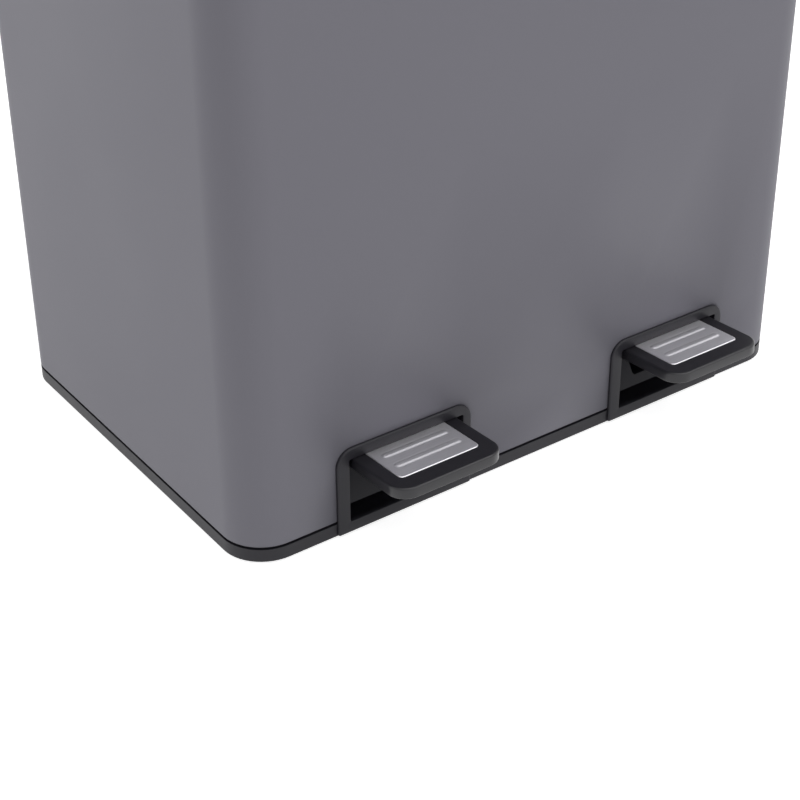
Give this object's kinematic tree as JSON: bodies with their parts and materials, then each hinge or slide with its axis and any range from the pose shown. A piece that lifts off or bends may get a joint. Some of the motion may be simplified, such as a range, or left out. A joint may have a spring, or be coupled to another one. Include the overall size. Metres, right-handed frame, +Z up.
{
  "type": "double recycling bin",
  "caption": "Double pedal bin for recycling: a flat grey metal body with rounded corners, two foot pedals in front, a hinged lid and a lift-out bucket behind each.",
  "frame": {"origin": "middle of the whole footprint, pedals included, on the floor", "axes": "+Z up, +Y towards the back of the bin, +X to the right seen from the front"},
  "size_m": [0.5, 0.3956, 0.6117],
  "materials": {
    "painted_steel": "smooth grey metallic paint",
    "base_plastic": "fine-grained dark grey plastic",
    "tread_plastic": "fine-grained black plastic",
    "bearing_plastic": "plain natural plastic",
    "bucket_plastic": "smooth grey plastic",
    "stainless_steel": "brushed, unpainted",
    "plain_steel": "zinc-plated",
    "rubber": "black rubber"
  },
  "bodies": {
    "cabinet": {"base_feet": "rubber", "base_tray": "base_plastic", "hinge_cover": "base_plastic", "left_hinge_pin": "plain_steel", "left_pedal_axle": "plain_steel", "left_pedal_bezel": "base_plastic", "left_pedal_bumper": "rubber", "left_rod_guide": "bearing_plastic", "outer_shell": "painted_steel", "right_hinge_pin": "plain_steel", "right_pedal_axle": "plain_steel", "right_pedal_bezel": "base_plastic", "right_pedal_bumper": "rubber", "right_rod_guide": "bearing_plastic", "top_collar": "base_plastic"},
    "left_bail": {"left_bail": "plain_steel", "left_bail_grip": "base_plastic"},
    "left_bucket": {"left_bucket": "bucket_plastic"},
    "left_lid": {"left_lid_bumpers": "rubber", "left_lid_crank": "plain_steel", "left_lid_frame": "base_plastic", "left_lid_skin": "painted_steel"},
    "left_pedal": {"left_pedal_arm": "plain_steel", "left_pedal_tread": "tread_plastic", "left_tread_plate": "stainless_steel"},
    "left_rod": {"left_push_rod": "plain_steel", "left_rod_foot": "bearing_plastic", "left_rod_saddle": "bearing_plastic"},
    "right_bail": {"right_bail": "plain_steel", "right_bail_grip": "base_plastic"},
    "right_bucket": {"right_bucket": "bucket_plastic"},
    "right_lid": {"right_lid_bumpers": "rubber", "right_lid_crank": "plain_steel", "right_lid_frame": "base_plastic", "right_lid_skin": "painted_steel"},
    "right_pedal": {"right_pedal_arm": "plain_steel", "right_pedal_tread": "tread_plastic", "right_tread_plate": "stainless_steel"},
    "right_rod": {"right_push_rod": "plain_steel", "right_rod_foot": "bearing_plastic", "right_rod_saddle": "bearing_plastic"}
  },
  "joints": [
    {"name": "left_lid_hinge", "type": "hinge", "parent": "cabinet", "child": "left_lid", "pos_m": [-0.1228, 0.18285, 0.5917], "axis": [-1, 0, 0], "range_deg": [0, 80]},
    {"name": "left_pedal_pivot", "type": "hinge", "parent": "cabinet", "child": "left_pedal", "pos_m": [-0.1228, 0.01075, 0.03], "axis": [1, 0, 0], "range_deg": [0, 6.89]},
    {"name": "left_rod_slide", "type": "slide", "parent": "cabinet", "child": "left_rod", "axis": [0, 0, 1], "range_m": [0, 0.01929]},
    {"name": "left_bucket_lift", "type": "slide", "parent": "cabinet", "child": "left_bucket", "axis": [0, 0, 1], "range_m": [0, 0.005]},
    {"name": "left_bail_hinge", "type": "hinge", "parent": "left_bucket", "child": "left_bail", "pos_m": [-0.1228, 0.01475, 0.5626], "axis": [-1, 0, 0], "range_deg": [0, 4]},
    {"name": "right_lid_hinge", "type": "hinge", "parent": "cabinet", "child": "right_lid", "pos_m": [0.1228, 0.18285, 0.5917], "axis": [-1, 0, 0], "range_deg": [0, 80]},
    {"name": "right_pedal_pivot", "type": "hinge", "parent": "cabinet", "child": "right_pedal", "pos_m": [0.1228, 0.01075, 0.03], "axis": [1, 0, 0], "range_deg": [0, 6.89]},
    {"name": "right_rod_slide", "type": "slide", "parent": "cabinet", "child": "right_rod", "axis": [0, 0, 1], "range_m": [0, 0.01929]},
    {"name": "right_bucket_lift", "type": "slide", "parent": "cabinet", "child": "right_bucket", "axis": [0, 0, 1], "range_m": [0, 0.005]},
    {"name": "right_bail_hinge", "type": "hinge", "parent": "right_bucket", "child": "right_bail", "pos_m": [0.1228, 0.01475, 0.5626], "axis": [-1, 0, 0], "range_deg": [0, 4]}
  ],
  "couplings": [
    {"joint": "left_pedal_pivot", "follows": "left_lid_hinge", "ratio": 0.086088},
    {"joint": "left_rod_slide", "follows": "left_lid_hinge", "m_per_rad": 0.013811},
    {"joint": "right_pedal_pivot", "follows": "right_lid_hinge", "ratio": 0.086088},
    {"joint": "right_rod_slide", "follows": "right_lid_hinge", "m_per_rad": 0.013811}
  ]
}
